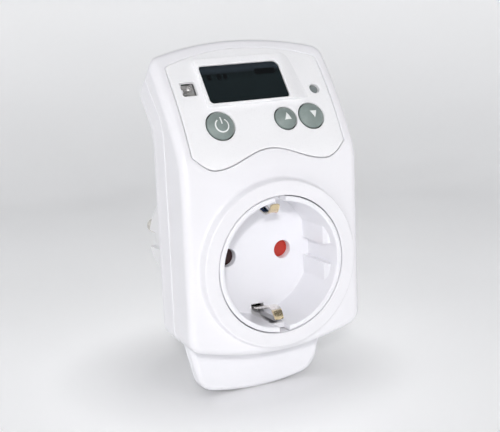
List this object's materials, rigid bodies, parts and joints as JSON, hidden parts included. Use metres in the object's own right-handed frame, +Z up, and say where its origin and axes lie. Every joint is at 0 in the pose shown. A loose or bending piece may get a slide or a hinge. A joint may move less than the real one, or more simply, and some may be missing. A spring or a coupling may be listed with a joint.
{
  "type": "plug-in power meter",
  "caption": "Plug-in mains power meter with a tilted display panel, press buttons, an earthed round socket in front and a matching two-pin plug behind.",
  "frame": {"origin": "centre of the plug's end face, on the common axis of socket and plug", "axes": "+Z up, +Y back along the plug axis towards the wall, +X to the right seen from the front"},
  "size_m": [0.0584, 0.077, 0.1083],
  "materials": {
    "black_plastic": "fine matt",
    "blue_plastic": "smooth",
    "board_green": "lacquered",
    "brass": "bright",
    "brown_plastic": "smooth",
    "copper": "bright",
    "dark_glass": "smooth gloss",
    "display_cell": "smooth",
    "grey_plastic": "fine matt",
    "grey_rubber": "satin",
    "nickel": "bright plated",
    "red_plastic": "smooth",
    "steel": "satin",
    "white_panel": "smooth gloss",
    "white_shell": "smooth gloss",
    "yellow_plastic": "smooth"
  },
  "bodies": {
    "case": {"front_shell": "white_shell", "middle_shell": "white_shell", "back_cover": "white_shell", "chin_front": "white_shell", "chin_back": "white_shell", "socket_insert": "white_shell", "plug_body": "white_shell", "fascia": "white_panel", "lcd_window": "dark_glass", "lcd_cell": "display_cell", "lcd_holder": "grey_plastic", "power_switch": "black_plastic", "up_switch": "black_plastic", "down_switch": "black_plastic", "reset_switch": "black_plastic", "display_board": "board_green", "main_board": "board_green", "probe_board": "board_green", "sensor_element": "steel", "board_screw_left": "steel", "board_screw_right": "steel", "case_screw_low_left": "steel", "case_screw_low_right": "steel", "case_screw_high_left": "steel", "case_screw_high_right": "steel", "relay": "blue_plastic", "film_capacitor": "yellow_plastic", "electrolytic_capacitor": "black_plastic", "fuse": "brown_plastic", "varistor": "blue_plastic", "metering_chip": "black_plastic", "controller_chip": "black_plastic", "shunt": "copper", "backup_cell": "steel", "board_link": "black_plastic", "contact_carrier": "black_plastic", "contact_left": "brass", "contact_right": "brass", "earth_clip_top": "nickel", "earth_clip_bottom": "nickel", "earth_bridge": "brass", "plug_earth_top": "nickel", "plug_earth_bottom": "nickel", "pin_left": "nickel", "pin_right": "nickel", "shutter_spring": "steel", "probe_sensor": "black_plastic"},
    "power_button": {"power_button": "grey_rubber"},
    "up_button": {"up_button": "grey_rubber"},
    "down_button": {"down_button": "grey_rubber"},
    "reset_button": {"reset_button": "grey_rubber"},
    "safety_shutter": {"safety_shutter": "red_plastic"}
  },
  "joints": [
    {"name": "power_press", "type": "slide", "parent": "case", "child": "power_button", "axis": [0, 0.864, -0.5034], "range_m": [0, 0.0006], "stiffness_N_per_m": 900},
    {"name": "up_press", "type": "slide", "parent": "case", "child": "up_button", "axis": [0, 0.863, -0.5052], "range_m": [0, 0.0006], "stiffness_N_per_m": 900},
    {"name": "down_press", "type": "slide", "parent": "case", "child": "down_button", "axis": [0, 0.863, -0.5052], "range_m": [0, 0.0006], "stiffness_N_per_m": 900},
    {"name": "reset_press", "type": "slide", "parent": "case", "child": "reset_button", "axis": [0, 0.8201, -0.5722], "range_m": [0, 0.0006], "stiffness_N_per_m": 900},
    {"name": "shutter_turn", "type": "hinge", "parent": "case", "child": "safety_shutter", "pos_m": [0, -0.0379, 0], "axis": [0, 1, 0], "range_deg": [0, 40], "stiffness_Nm_per_rad": 0.01}
  ]
}
